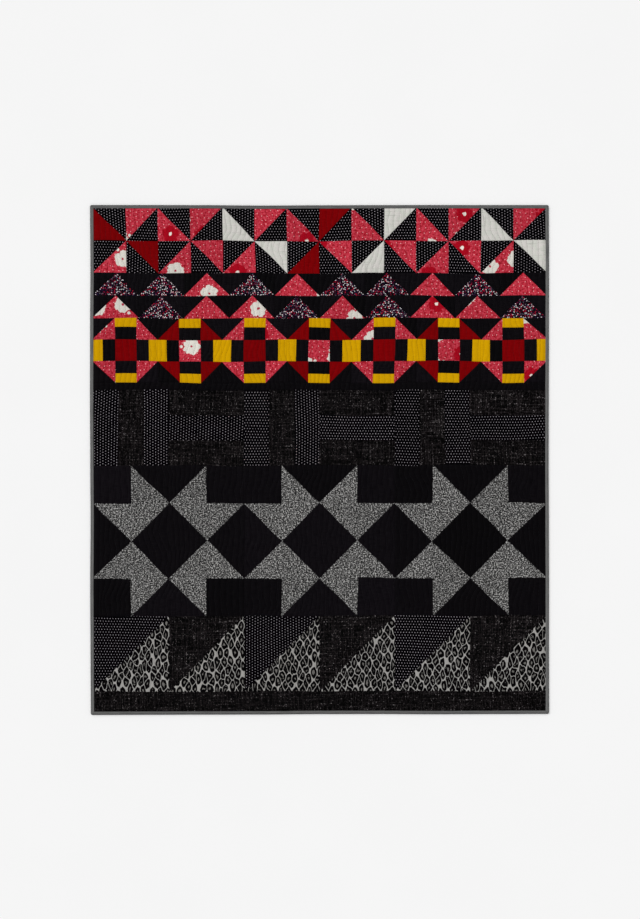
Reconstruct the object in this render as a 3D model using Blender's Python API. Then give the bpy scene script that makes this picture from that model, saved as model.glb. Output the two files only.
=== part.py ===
"""A patchwork throw, quilted in wood-grain lines and bound on its four edges, lying flat.

Units are metres and +Z is up. The origin is under the middle of the quilt, on the surface that it
lies on. +Y points to the edge that is uppermost when the quilt is seen face on.
"""

import math

import bmesh
import bpy

# Outside size, binding included
WIDTH = 1.372
LENGTH = 1.524
CORNER_RADIUS = 0.0045

# Binding: a strip of doubled cloth folded round the edge
BINDING_REACH = 0.010
BINDING_CLOTH = 0.0010
BINDING_HEIGHT = 0.0050
BINDING_ROLL = 0.0019
INNER_CORNER = 0.0005

# Space kept between pieces that touch
SEAT_GAP = 0.0003

# Quilted body
QUILTING_LINES = 84
CREST_HEIGHT = 0.0060
VALLEY_HEIGHT = 0.0040
SHOULDER = 0.0035
SHOULDER_HEIGHT = 0.0046
GRID_ROWS = 24
UNDULATION = 0.0004
UNDULATION_SPAN = 0.47

# Wood-grain quilting: how far the lines sway, how long a sway is, and how it drifts across the quilt
GRAIN = (
    # sway, length along the line, drift across, start
    (0.0075, 0.62, 1.05, 0.4),
    (0.0038, 0.31, -0.58, 1.9),
)
GRAIN_FADE = 0.060

# Knots in the grain, which the lines part around
KNOTS = (
    # across, along, parting, length, spread
    (-0.430, 0.520, 0.0060, 0.120, 0.070),
    (0.165, 0.395, 0.0065, 0.130, 0.075),
    (0.520, 0.110, 0.0060, 0.120, 0.070),
    (-0.190, 0.030, 0.0070, 0.135, 0.080),
    (-0.520, -0.330, 0.0060, 0.120, 0.070),
    (0.250, -0.280, 0.0070, 0.135, 0.080),
    (-0.080, -0.600, 0.0060, 0.115, 0.070),
)

# How far each edge of the real quilt lies inside the rectangle, at nine even stations
EDGE_INSET = (
    # left, right (from the bottom up), bottom, top (from left to right)
    (0.0026, 0.0000, 0.0000, 0.0000),
    (0.0016, 0.0004, 0.0006, 0.0001),
    (0.0007, 0.0002, 0.0010, 0.0004),
    (0.0018, 0.0008, 0.0014, 0.0016),
    (0.0008, 0.0014, 0.0027, 0.0008),
    (0.0000, 0.0010, 0.0029, 0.0003),
    (0.0003, 0.0005, 0.0022, 0.0000),
    (0.0013, 0.0003, 0.0028, 0.0002),
    (0.0002, 0.0010, 0.0033, 0.0001),
)

# Makes a knot's greatest sideways move equal to its parting
PARTING_PEAK = math.sqrt(2 * math.e)

# How finely the outline and the binding's roll are divided
SIDE_STATIONS = 16
CORNER_STEPS = 3
ROLL_STEPS = 3
MITRE = math.radians(45)
QUARTER_TURN = math.radians(90)
SHARP_EDGE = math.radians(50)

# Plain finishes
BODY_COLOUR = (0.006, 0.006, 0.007)
BODY_ROUGHNESS = 0.9
BINDING_COLOUR = (0.13, 0.13, 0.13)
BINDING_ROUGHNESS = 0.85


def smooth(value):
    """Rises from 0 to 1 with level ends."""
    value = min(max(value, 0.0), 1.0)
    return value * value * (3 - 2 * value)


def inset_at(column, share):
    """One edge's inset at a share of the way along it, read smoothly between the stations."""
    place = min(max(share, 0.0), 1.0) * (len(EDGE_INSET) - 1)
    before = min(int(place), len(EDGE_INSET) - 2)
    step = smooth(place - before)
    return EDGE_INSET[before][column] * (1 - step) + EDGE_INSET[before + 1][column] * step


def uneven(x, y):
    """Moves a point of the true rectangle to where it lies on the slightly uneven quilt."""
    across = x / WIDTH + 0.5
    along = y / LENGTH + 0.5
    left, right = inset_at(0, along), inset_at(1, along)
    bottom, top = inset_at(2, across), inset_at(3, across)
    return (
        x + left * (1 - across) - right * across,
        y + bottom * (1 - along) - top * along,
    )


def grain_shift(x, y, half_width):
    """How far a quilting line is moved sideways at a point."""
    shift = 0.0
    for sway, length, drift, start in GRAIN:
        shift += sway * math.sin(2 * math.pi * (y / length + x / drift) + start)
    for across, along, parting, length, spread in KNOTS:
        beside = (x - across) / spread
        beyond = (y - along) / length
        shift += parting * PARTING_PEAK * beside * math.exp(-beside * beside - beyond * beyond)
    return shift * smooth((half_width - abs(x)) / GRAIN_FADE)


def corner_radius(depth):
    """The corner's radius at a depth in from the outer edge: it tightens to a mitre."""
    return CORNER_RADIUS - (CORNER_RADIUS - INNER_CORNER) * min(depth / BINDING_REACH, 1.0)


def side_points(side, depth, mitre_gap=0.0):
    """Points along one side at a depth in from the edge, from mitre to mitre, turning left.

    Side 0 is the bottom, 1 the right, 2 the top and 3 the left.
    """
    length = (WIDTH, LENGTH)[side % 2]
    radius = corner_radius(depth)
    centre = depth + radius
    points = []
    for step in range(CORNER_STEPS + 1):
        angle = MITRE * (1 - step / CORNER_STEPS)
        points.append((centre - radius * math.sin(angle), centre - radius * math.cos(angle)))
    for step in range(1, SIDE_STATIONS):
        points.append((centre + (length - 2 * centre) * step / SIDE_STATIONS, depth))
    points += [(length - along, inward) for along, inward in reversed(points[: CORNER_STEPS + 1])]
    half_length, half_depth = length / 2, (LENGTH, WIDTH)[side % 2] / 2
    placed = []
    for along, inward in points:
        pulled = min(max(along, inward + mitre_gap), length - inward - mitre_gap)
        placed.append(turned(side, pulled - half_length, inward - half_depth))
    return placed


def turned(side, along, outward):
    """Turns a point of the bottom side onto another side."""
    for _ in range(side):
        along, outward = -outward, along
    return along, outward


def ring(bm, depth, height):
    """A closed loop of vertices round the quilt at one depth and height."""
    loop = []
    for side in range(4):
        for x, y in side_points(side, depth)[:-1]:
            loop.append(bm.verts.new((*uneven(x, y), height)))
    return loop


def zip_loops(bm, first, second):
    """Joins two closed loops that start near each other and run the same way, with triangles."""
    first_shares = running_shares(first) + [math.inf]
    second_shares = running_shares(second) + [math.inf]
    i = j = 0
    for _ in range(len(first) + len(second)):
        a, b = first[i % len(first)], second[j % len(second)]
        if first_shares[i + 1] <= second_shares[j + 1]:
            i += 1
            bm.faces.new((a, first[i % len(first)], b))
        else:
            j += 1
            bm.faces.new((a, second[j % len(second)], b))


def running_shares(loop):
    """How far round a closed loop each vertex lies, from 0 to 1 back at the start."""
    run = [0.0]
    for here, there in zip(loop, loop[1:] + loop[:1]):
        run.append(run[-1] + (there.co - here.co).length)
    return [distance / run[-1] for distance in run]


def join_loops(bm, first, second):
    """Joins two closed loops with the same number of vertices, with quads."""
    for i in range(len(first)):
        k = (i + 1) % len(first)
        bm.faces.new((first[i], first[k], second[k], second[i]))


def undulation(x, y):
    """The wadding's slow rise and fall."""
    turn = 2 * math.pi / UNDULATION_SPAN
    return UNDULATION * math.cos(turn * x) * math.cos(turn * y)


def quilted_face(bm):
    """The face with its quilting: each line is a column of low vertices between two high ones."""
    inset = BINDING_REACH + SEAT_GAP + SHOULDER
    half_width, half_length = WIDTH / 2 - inset, LENGTH / 2 - inset
    columns = 2 * QUILTING_LINES
    rows = []
    for r in range(GRID_ROWS + 1):
        y = half_length * (2 * r / GRID_ROWS - 1)
        row = []
        for c in range(columns + 1):
            x = half_width * (2 * c / columns - 1)
            height = VALLEY_HEIGHT if c % 2 == 0 else CREST_HEIGHT
            if r in (0, GRID_ROWS):
                height = (VALLEY_HEIGHT + CREST_HEIGHT) / 2
            point = uneven(x + grain_shift(x, y, half_width), y)
            row.append(bm.verts.new((*point, height + undulation(x, y))))
        rows.append(row)
    for lower, upper in zip(rows, rows[1:]):
        for c in range(columns):
            bm.faces.new((lower[c], lower[c + 1], upper[c + 1], upper[c]))
    right = [row[-1] for row in rows[1:]]
    left = [row[0] for row in rows[-2:0:-1]]
    return rows[0] + right + rows[-1][-2::-1] + left


def finish(bm, name, colour, roughness):
    """Makes the object, with its faces turned outwards and its own material."""
    bmesh.ops.recalc_face_normals(bm, faces=bm.faces)
    mesh = bpy.data.meshes.new(name)
    bm.to_mesh(mesh)
    bm.free()
    mesh.shade_smooth()
    mesh.set_sharp_from_angle(angle=SHARP_EDGE)
    material = bpy.data.materials.new(name)
    material.use_nodes = True
    shader = material.node_tree.nodes["Principled BSDF"]
    shader.inputs["Base Color"].default_value = (*colour, 1)
    shader.inputs["Roughness"].default_value = roughness
    shader.inputs["Metallic"].default_value = 0.0
    mesh.materials.append(material)
    piece = bpy.data.objects.new(name, mesh)
    bpy.context.scene.collection.objects.link(piece)
    return piece


def quilt_body():
    """Top, wadding and backing as one filled solid, with its edge pressed thin for the binding."""
    bm = bmesh.new()
    field = BINDING_REACH + SEAT_GAP
    edge = BINDING_CLOTH + SEAT_GAP
    tongue_top = BINDING_HEIGHT - BINDING_CLOTH - SEAT_GAP
    profile = (
        # depth, height, from the underside round the pressed edge to the face
        (field, 0.0),
        (field, edge),
        (edge, edge),
        (edge, tongue_top),
        (field, tongue_top),
        (field, SHOULDER_HEIGHT),
    )
    loops = [ring(bm, depth, height) for depth, height in profile]
    bm.faces.new(loops[0])
    for lower, upper in zip(loops, loops[1:]):
        join_loops(bm, lower, upper)
    zip_loops(bm, loops[-1], quilted_face(bm))
    return finish(bm, "quilt_body", BODY_COLOUR, BODY_ROUGHNESS)


def binding_profile():
    """The folded strip's cross-section as depth and height: a channel with a rolled outer edge."""
    outside = [(BINDING_REACH, 0.0)]
    for middle, quarters in ((BINDING_ROLL, 0), (BINDING_HEIGHT - BINDING_ROLL, 1)):
        for step in range(ROLL_STEPS + 1):
            angle = QUARTER_TURN * (quarters + step / ROLL_STEPS)
            depth = BINDING_ROLL - BINDING_ROLL * math.sin(angle)
            outside.append((depth, middle - BINDING_ROLL * math.cos(angle)))
    upper, lower = BINDING_HEIGHT - BINDING_CLOTH, BINDING_CLOTH
    channel = [(BINDING_CLOTH, upper), (BINDING_CLOTH, lower), (BINDING_REACH, lower)]
    return outside + [(BINDING_REACH, BINDING_HEIGHT), (BINDING_REACH, upper)] + channel


def binding_strip(name, side):
    """One side's binding, from mitre to mitre."""
    bm = bmesh.new()
    runs = []
    for depth, height in binding_profile():
        points = side_points(side, depth, mitre_gap=SEAT_GAP / 2 * math.sqrt(2))
        runs.append([bm.verts.new((*uneven(x, y), height)) for x, y in points])
    for first, second in zip(runs, runs[1:] + runs[:1]):
        for i in range(len(first) - 1):
            bm.faces.new((first[i], first[i + 1], second[i + 1], second[i]))
    bm.faces.new([run[0] for run in runs])
    bm.faces.new([run[-1] for run in reversed(runs)])
    return finish(bm, name, BINDING_COLOUR, BINDING_ROUGHNESS)


def main():
    for stale in list(bpy.data.objects):
        bpy.data.objects.remove(stale)
    quilt_body()
    for side, name in enumerate(("bottom", "right", "top", "left")):
        binding_strip(f"binding_{name}", side)


main()
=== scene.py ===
import math
from collections import namedtuple

import bmesh
import bpy
import numpy as np
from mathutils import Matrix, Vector


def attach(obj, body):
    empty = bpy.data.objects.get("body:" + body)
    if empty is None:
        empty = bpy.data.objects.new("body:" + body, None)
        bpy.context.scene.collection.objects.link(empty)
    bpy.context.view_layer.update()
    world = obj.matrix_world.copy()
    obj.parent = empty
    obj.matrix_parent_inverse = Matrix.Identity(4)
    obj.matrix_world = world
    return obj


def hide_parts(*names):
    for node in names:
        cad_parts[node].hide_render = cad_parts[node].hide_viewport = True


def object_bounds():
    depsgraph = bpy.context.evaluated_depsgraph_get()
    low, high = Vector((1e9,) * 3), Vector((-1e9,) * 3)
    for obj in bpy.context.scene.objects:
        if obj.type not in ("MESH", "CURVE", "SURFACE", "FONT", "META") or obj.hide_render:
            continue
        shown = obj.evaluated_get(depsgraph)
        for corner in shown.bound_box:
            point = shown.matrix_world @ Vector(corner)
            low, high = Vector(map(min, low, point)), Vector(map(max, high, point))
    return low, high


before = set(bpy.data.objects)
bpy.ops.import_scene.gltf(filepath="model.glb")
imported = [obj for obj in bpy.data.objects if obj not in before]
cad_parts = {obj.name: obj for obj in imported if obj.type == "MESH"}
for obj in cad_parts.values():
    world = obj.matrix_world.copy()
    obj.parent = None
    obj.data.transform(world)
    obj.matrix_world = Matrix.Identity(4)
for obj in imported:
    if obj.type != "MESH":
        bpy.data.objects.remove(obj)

cad_low, cad_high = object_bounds()

# Outside size, from the frame, and the binding round it. All lengths but the finishes' are in metres.
WIDTH = cad_high.x - cad_low.x
LENGTH = cad_high.y - cad_low.y
BINDING_REACH = 0.010
BINDING_HEIGHT = 0.0050
BINDING_CLOTH = 0.0010
BINDING_ROLL = 0.0034
BINDING_UNDERSIDE = (BINDING_REACH, 0.0080, 0.0055)
BINDING_FACE = (
    # depth in from the edge, height above the binding's own
    (0.0048, 0.00014),
    (0.0064, 0.00018),
    (0.0080, 0.00006),
    (0.0092, -0.0003),
    (BINDING_REACH, -0.0010),
)
MOUTH_DEPTH, MOUTH_DROP = 0.0090, 0.0015
BINDING_SLACK = (
    # height, size and seed of its ripples
    (0.00016, 0.022, 13),
    (0.00010, 0.009, 17),
)
CORNER_RADIUS = 0.0045
INNER_CORNER = 0.0005
CORNER_POINTS = 5

# Painted shade on the binding: each strip is darker the further it faces from the lamp at the upper
# left, and a painted shadow runs along its rolled outer fold, where less light falls
BINDING_PAINTED_SHADE = {"bottom": 0.78, "right": 0.92, "top": 0.80, "left": 0.98}
FOLD_PAINTED_SHADE, FOLD_SHADE_WIDTH = 0.42, 0.0044

# How far each edge of the real quilt lies inside the rectangle, at nine even stations
EDGE_INSET = (
    # left, right (from the bottom up), bottom, top (from left to right)
    (0.0026, 0.0000, 0.0000, 0.0000),
    (0.0016, 0.0004, 0.0006, 0.0001),
    (0.0007, 0.0002, 0.0010, 0.0004),
    (0.0018, 0.0008, 0.0014, 0.0016),
    (0.0008, 0.0014, 0.0027, 0.0008),
    (0.0000, 0.0010, 0.0029, 0.0003),
    (0.0003, 0.0005, 0.0022, 0.0000),
    (0.0013, 0.0003, 0.0028, 0.0002),
    (0.0002, 0.0010, 0.0033, 0.0001),
)

# Quilting lines, which run from the bottom to the top in a wood grain, and the channels between
CHANNELS = 84
FIELD_INSET = 0.0138
HALF_FIELD = WIDTH / 2 - FIELD_INSET
LINE_PITCH = 2 * HALF_FIELD / CHANNELS
GRAIN = (
    # sway, length along the line, drift across, start
    (0.0075, 0.62, 1.05, 0.4),
    (0.0038, 0.31, -0.58, 1.9),
)
GRAIN_FADE = 0.060
KNOTS = (
    # across, along, parting, length, spread
    (-0.430, 0.520, 0.0060, 0.120, 0.070),
    (0.165, 0.395, 0.0065, 0.130, 0.075),
    (0.520, 0.110, 0.0060, 0.120, 0.070),
    (-0.190, 0.030, 0.0070, 0.135, 0.080),
    (-0.520, -0.330, 0.0060, 0.120, 0.070),
    (0.250, -0.280, 0.0070, 0.135, 0.080),
    (-0.080, -0.600, 0.0060, 0.115, 0.070),
)
PARTING_PEAK = math.sqrt(2 * math.e)

# Finer figure in the grain: a slow tremble, and small eyes that the lines part around
TREMBLE = (
    # sway, size of a bend, how stretched it is across, seed
    (0.0140, 0.066, 0.32, 31),
    (0.0048, 0.028, 0.37, 37),
)
EYE_COUNT = 70
EYE_PARTING = 0.0058
EYE_LENGTH = (0.022, 0.050)
EYE_SPREAD = (0.026, 0.032)

# Loft: how high the wadding stands between the lines, and how low the stitches draw the cloth
CREST_HEIGHT = 0.0060
VALLEY_HEIGHT = 0.0041
TUCKED_HEIGHT = 0.0037
LOFT_FULLNESS = 0.62
LOFT_VARIATION = 0.00042
VALLEY_SHARE = 0.3
PUCKER = 0.00040
PUCKER_FADE = 1.6
UNDULATION = 0.0004
UNDULATION_SPAN = 0.47
EDGE_RISE = 0.0075
TUCK = 0.004

# Unevenness, as the size of its hills and its seed, and how far apart it is read for two channels
CREST_CLOUDS, CREST_APART = (0.045, 3), 0.05
VALLEY_CLOUDS = (0.030, 5)
PUCKER_CLOUDS, PUCKER_APART = (0.011, 7), 0.31
LATTICE, LATTICE_MIDDLE = 97, 40.5

# Seams between patches: a ditch, and the allowances that are pressed under the darker cloth
DITCH_DEPTH = 0.0011
DITCH_WIDTH = 0.0028
DITCH_IN_VALLEY = 0.35
SEAM_FOLD = 0.0012
ALLOWANCE = 0.0065
ALLOWANCE_HEIGHT = 0.00038
SEAM_WANDER = (
    # across, along, waves per metre across and along, start
    (0.0011, 0.0004, 0.7, 2.6, 0.3),
    (0.0005, 0.0013, 2.3, 0.9, 1.7),
    (0.0006, 0.0005, 3.9, -3.1, 4.0),
    (0.0003, 0.0004, -5.5, 6.7, 2.2),
)

# How finely the cloth is divided, and in how many rounds a shift of its points is undone
COLUMNS_PER_CHANNEL = 6
ROW_STEP = 0.005
ON_THE_CUT = 0.00002
GRAIN_ROUNDS, WANDER_ROUNDS = 7, 6

# Stitches, and the shares of them: of the step that is covered, of the even length that the
# shortest and longest have, and of the thread that stands out of the furrow
QUILTING_STITCH = 0.0036
QUILTING_THREAD = 0.0008
BINDING_STITCH = 0.0028
BINDING_THREAD = 0.0005
STITCH_SHARE = 0.86
SHORTEST_STITCH, LONGEST_STITCH = 0.86, 1.06
THREAD_LIFT = 0.15

# How many degrees off the grain the patches lie
OFF_GRAIN = 2

# The photograph's frame, and where the quilt lies in it
FRAME_WIDTH_PX, FRAME_HEIGHT_PX = 640, 919
METRES_PER_PX = 0.0029875
QUILT_MIDDLE_PX = (319.5, 460.0)
CAMERA_HEIGHT = 6.0
SENSOR_WIDTH_MM = 36.0

# The studio: its light surround, the broad lamp and where that shines from, and the paper
SURROUND_STRENGTH = 0.78
LAMP_STRENGTH = 1.18
LAMP_SPREAD = math.radians(40)
LAMP_SIDE = (-0.62, 0.46, 0.66)
HALF_FLOOR = 60.0


# Shape of the quilt


def smooth(value):
    """Rises from 0 to 1 with level ends."""
    value = np.clip(value, 0.0, 1.0)
    return value * value * (3 - 2 * value)


def inset_at(column, share):
    """One edge's inset at a share of the way along it, read smoothly between the stations."""
    stations = np.array([row[column] for row in EDGE_INSET])
    place = np.clip(share, 0.0, 1.0) * (len(stations) - 1)
    before = np.minimum(place.astype(int), len(stations) - 2)
    step = smooth(place - before)
    return stations[before] * (1 - step) + stations[before + 1] * step


def uneven(x, y):
    """Moves points of the true rectangle to where they lie on the slightly uneven quilt."""
    across, along = x / WIDTH + 0.5, y / LENGTH + 0.5
    left, right = inset_at(0, along), inset_at(1, along)
    bottom, top = inset_at(2, across), inset_at(3, across)
    return x + left * (1 - across) - right * across, y + bottom * (1 - along) - top * along


def small_eyes():
    """The small eyes of the grain, scattered by a fixed draw, in the form of the knots' table."""
    chance = np.random.default_rng(11)
    eyes = []
    for _ in range(EYE_COUNT):
        across, along = chance.uniform(-0.5, 0.5, 2) * (WIDTH, LENGTH)
        length, spread = chance.uniform(*EYE_LENGTH), chance.uniform(*EYE_SPREAD)
        eyes.append((across, along, EYE_PARTING, length, spread))
    return tuple(eyes)


EYES = small_eyes()


def grain_shift(x, y):
    """How far a quilting line is moved sideways at each point."""
    shift = np.zeros(np.broadcast(x, y).shape)
    for sway, length, drift, start in GRAIN:
        shift += sway * np.sin(2 * np.pi * (y / length + x / drift) + start)
    for sway, size, stretch, seed in TREMBLE:
        shift += sway * cloudy(x * stretch, y, size, seed)
    for across, along, parting, length, spread in KNOTS + EYES:
        beside, beyond = (x - across) / spread, (y - along) / length
        shift += parting * PARTING_PEAK * beside * np.exp(-beside * beside - beyond * beyond)
    return shift * smooth((HALF_FIELD - np.abs(x)) / GRAIN_FADE)


def line_number(x, y):
    """Where each point lies among the quilting lines: the line's number, with a fraction between."""
    unshifted = x
    for _ in range(GRAIN_ROUNDS):
        unshifted = x - grain_shift(unshifted, y)
    return (unshifted + HALF_FIELD) / LINE_PITCH


def cloudy(x, y, size, seed):
    """Smooth random values from -1 to 1, with hills and hollows of the given size."""
    lattice = np.random.default_rng(seed).uniform(-1, 1, (LATTICE, LATTICE))
    across, along = (np.asarray(place) / size + LATTICE_MIDDLE for place in (x, y))
    i, j = np.floor(across).astype(int), np.floor(along).astype(int)
    u, v = smooth(across - i), smooth(along - j)
    i, j, i_next, j_next = (number % LATTICE for number in (i, j, i + 1, j + 1))
    low = lattice[i, j] * (1 - u) + lattice[i_next, j] * u
    high = lattice[i, j_next] * (1 - u) + lattice[i_next, j_next] * u
    return low * (1 - v) + high * v


def loft(x, y):
    """The top's height, seams apart, and how far up each point is from stitch to crest."""
    line = line_number(x, y)
    rise = np.abs(np.sin(np.pi * line)) ** LOFT_FULLNESS
    channel = np.floor(line)
    crest = CREST_HEIGHT + LOFT_VARIATION * cloudy(channel * CREST_APART, y, *CREST_CLOUDS)
    valley = VALLEY_HEIGHT + VALLEY_SHARE * LOFT_VARIATION * cloudy(x, y, *VALLEY_CLOUDS)
    pucker = PUCKER * cloudy(channel * PUCKER_APART, y, *PUCKER_CLOUDS)
    pucker = pucker * rise * (PUCKER_FADE - rise)
    turn = 2 * np.pi / UNDULATION_SPAN
    swell = UNDULATION * np.cos(turn * x) * np.cos(turn * y)
    height = valley + (crest - valley) * rise + pucker + swell
    border = np.minimum(WIDTH / 2 - np.abs(x), LENGTH / 2 - np.abs(y)) - BINDING_REACH
    freed = smooth(border / EDGE_RISE)
    return TUCKED_HEIGHT + (height - TUCKED_HEIGHT) * freed, rise * freed


def wander(x, y):
    """How far the piecing has strayed from its pattern, across and along, at each point."""
    across, along = 0.0, 0.0
    for reach_x, reach_y, waves_x, waves_y, start in SEAM_WANDER:
        wave = np.sin(2 * np.pi * (x * waves_x + y * waves_y) + start)
        across, along = across + reach_x * wave, along + reach_y * wave
    return across, along


# Pattern of the top: traditional blocks in bands. Each block gives its patches as a fabric's name
# and corners that turn left.


def oblong(x, y, width, height):
    return [(x, y), (x + width, y), (x + width, y + height), (x, y + height)]


def half_squares(x, y, width, height, below, above, rising=True):
    """A rectangle cut from corner to corner into two triangles."""
    a, b, c, d = oblong(x, y, width, height)
    if rising:
        return [(below, [a, b, c]), (above, [a, c, d])]
    return [(below, [a, b, d]), (above, [b, c, d])]


def pinwheel(x, y, size, blades, ground):
    """Eight triangles that meet in the middle, blade and ground in turn."""
    half = size / 2
    rim = [(0, 0), (1, 0), (2, 0), (2, 1), (2, 2), (1, 2), (0, 2), (0, 1)]
    rim = [(x + half * across, y + half * up) for across, up in rim]
    patches = []
    for step in range(8):
        cloth = blades[step // 2 % len(blades)] if step % 2 == 0 else ground
        patches.append((cloth, [(x + half, y + half), rim[step], rim[(step + 1) % 8]]))
    return patches


def flying_goose(x, y, width, height, goose, sky):
    """A wide triangle between two small ones."""
    left, right, top = (x, y), (x + width, y), (x + width / 2, y + height)
    return [
        (goose, [left, right, top]),
        (sky, [left, top, (x, y + height)]),
        (sky, [right, (x + width, y + height), top]),
    ]


def churn_dash(x, y, size, corner, bar, middle, ground):
    """Nine squares: split corners, a bar on the outside of each side, and a plain middle."""
    cell, bar_share = size / 3, 0.42
    near, far = bar_share * cell, (1 - bar_share) * cell
    last = 2 * cell
    return [
        (middle, oblong(x + cell, y + cell, cell, cell)),
        *half_squares(x, y, cell, cell, ground, corner, rising=False),
        *half_squares(x + last, y, cell, cell, ground, corner),
        *half_squares(x + last, y + last, cell, cell, corner, ground, rising=False),
        *half_squares(x, y + last, cell, cell, corner, ground),
        (bar, oblong(x + cell, y, cell, near)),
        (ground, oblong(x + cell, y + near, cell, far)),
        (bar, oblong(x + cell, y + size - near, cell, near)),
        (ground, oblong(x + cell, y + last, cell, far)),
        (bar, oblong(x, y + cell, near, cell)),
        (ground, oblong(x + near, y + cell, far, cell)),
        (bar, oblong(x + size - near, y + cell, near, cell)),
        (ground, oblong(x + last, y + cell, far, cell)),
    ]


def rail_fence(x, y, size, rails, upright):
    """Three equal rails, upright or level."""
    rail = size / len(rails)
    if upright:
        return [(cloth, oblong(x + rail * k, y, rail, size)) for k, cloth in enumerate(rails)]
    return [(cloth, oblong(x, y + rail * k, size, rail)) for k, cloth in enumerate(rails)]


def sawtooth_star(x, y, size, star, ground):
    """A star whose middle is a square with another set into it on its point."""
    cell = size / 4
    half, last = 2 * cell, 3 * cell
    patches = [(ground, oblong(x + i, y + j, cell, cell)) for i in (0, last) for j in (0, last)]
    for side in range(4):
        for cloth, corners in (
            (star, [(-cell, -cell), (-cell, -half), (0, -cell)]),
            (star, [(0, -cell), (cell, -half), (cell, -cell)]),
            (ground, [(-cell, -half), (cell, -half), (0, -cell)]),
            (star, [(-cell, -cell), (0, -cell), (-cell, 0)]),
        ):
            for _ in range(side):
                corners = [(-b, a) for a, b in corners]
            patches.append((cloth, [(x + half + a, y + half + b) for a, b in corners]))
    middle = [(cell, 0), (0, cell), (-cell, 0), (0, -cell)]
    patches.append((ground, [(x + half + a, y + half + b) for a, b in middle]))
    return patches


PINWHEEL_BLADES = (
    ("red floral", "dark red"),
    ("red floral", "red floral"),
    ("red floral", "white linen"),
    ("dark red", "red floral"),
    ("white linen", "red floral"),
    ("red floral", "red floral"),
    ("red floral", "white linen"),
)
GEESE = (
    ("confetti", "confetti", "red floral", "confetti", "red floral") * 2,
    ("red floral", "confetti", "red floral", "red floral", "confetti") * 2,
)
DASH_CORNERS = ("red floral", "dark red")
RAILS = (("pin dot", "black slub", "pin dot"), ("black slub", "pin dot", "black slub"))
TOOTH_GROUNDS = ("pin dot", "black slub")
BAND_COUNTS = {"pinwheels": 7, "geese": 10, "churn dashes": 7, "rails": 6, "stars": 3, "teeth": 6}
BLACK_STRIP = 0.022


def pieced_top():
    """All patches of the top, band by band from the top edge down."""
    wide = WIDTH - 2 * BINDING_REACH
    left, up = -wide / 2, LENGTH / 2 - BINDING_REACH
    size = {band: wide / count for band, count in BAND_COUNTS.items()}
    patches = []

    step = size["pinwheels"]
    up -= step
    for k, blades in enumerate(PINWHEEL_BLADES):
        patches += pinwheel(left + k * step, up, step, blades, "pin dot")

    step = size["geese"]
    for row in GEESE:
        up -= step / 2
        for k, goose in enumerate(row):
            patches += flying_goose(left + k * step, up, step, step / 2, goose, "black")

    step = size["churn dashes"]
    up -= step
    for k in range(BAND_COUNTS["churn dashes"]):
        corner, middle = DASH_CORNERS[k % 2], DASH_CORNERS[(k + 1) % 2]
        patches += churn_dash(left + k * step, up, step, corner, "yellow", middle, "black")

    up -= BLACK_STRIP
    patches.append(("black", oblong(left, up, wide, BLACK_STRIP)))

    step = size["rails"]
    up -= step
    for k in range(BAND_COUNTS["rails"]):
        patches += rail_fence(left + k * step, up, step, RAILS[k % 2], k % 2 == 0)

    step = size["stars"]
    up -= step
    for k in range(BAND_COUNTS["stars"]):
        patches += sawtooth_star(left + k * step, up, step, "grey tweed", "black")

    step = size["teeth"]
    up -= step
    for k in range(BAND_COUNTS["teeth"]):
        patches += half_squares(left + k * step, up, step, step, "spotted", TOOTH_GROUNDS[k % 2])

    rest = up + LENGTH / 2 - BINDING_REACH
    patches.append(("black slub", oblong(left, up - rest, wide, rest)))
    return patches


def tucked(corners):
    """Pushes the corners on the outside of the top in under the binding."""
    limits = WIDTH / 2 - BINDING_REACH, LENGTH / 2 - BINDING_REACH
    moved = []
    for corner in corners:
        place = [
            math.copysign(limit + TUCK, value) if abs(value) > limit - ON_THE_CUT else value
            for value, limit in zip(corner, limits)
        ]
        moved.append(place)
    return np.array(moved)


# Meshes


class ClothGrid:
    """The top's grid, with columns that follow the quilting lines, in the pattern's own places."""

    def __init__(self):
        spare = 5
        columns = np.arange(-spare, CHANNELS * COLUMNS_PER_CHANNEL + spare + 1)
        columns = columns * LINE_PITCH / COLUMNS_PER_CHANNEL - HALF_FIELD
        rows = np.arange(-LENGTH / 2, LENGTH / 2 + ROW_STEP / 2, ROW_STEP)
        unshifted, y = np.meshgrid(columns, rows, indexing="ij")
        x = unshifted + grain_shift(unshifted, y)
        self.x, self.y = x, y
        for _ in range(WANDER_ROUNDS):
            across, along = wander(self.x, self.y)
            self.x, self.y = x - across, y - along

    def cut(self, corners):
        """The grid inside a patch: points in the pattern, distances to its sides, and faces."""
        sides = []
        for start, end in zip(corners, np.roll(corners, -1, axis=0)):
            run = (end - start) / np.linalg.norm(end - start)
            sides.append((start, np.array([-run[1], run[0]])))
        kept = np.ones((self.x.shape[0] - 1, self.x.shape[1] - 1), bool)
        for start, inward in sides:
            inside = (self.x - start[0]) * inward[0] + (self.y - start[1]) * inward[1] > 0
            kept &= inside[:-1, :-1] | inside[1:, :-1] | inside[:-1, 1:] | inside[1:, 1:]
        bm = bmesh.new()
        made = {}
        for i, j in np.argwhere(kept):
            ring = []
            for key in ((i, j), (i + 1, j), (i + 1, j + 1), (i, j + 1)):
                if key not in made:
                    made[key] = bm.verts.new((self.x[key], self.y[key], 0))
                ring.append(made[key])
            bm.faces.new(ring)
        for start, inward in sides:
            for depth in (0.0, SEAM_FOLD):
                bmesh.ops.bisect_plane(
                    bm,
                    geom=bm.verts[:] + bm.edges[:] + bm.faces[:],
                    dist=ON_THE_CUT,
                    plane_co=(*(start + inward * depth), 0),
                    plane_no=(*-inward, 0),
                    clear_outer=depth == 0.0,
                )
        bm.verts.index_update()
        points = np.array([vertex.co[:2] for vertex in bm.verts])
        faces = [[vertex.index for vertex in face.verts] for face in bm.faces]
        bm.free()
        to_side = [(points - start) @ inward for start, inward in sides]
        return points, np.min(to_side, axis=0), faces


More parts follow.
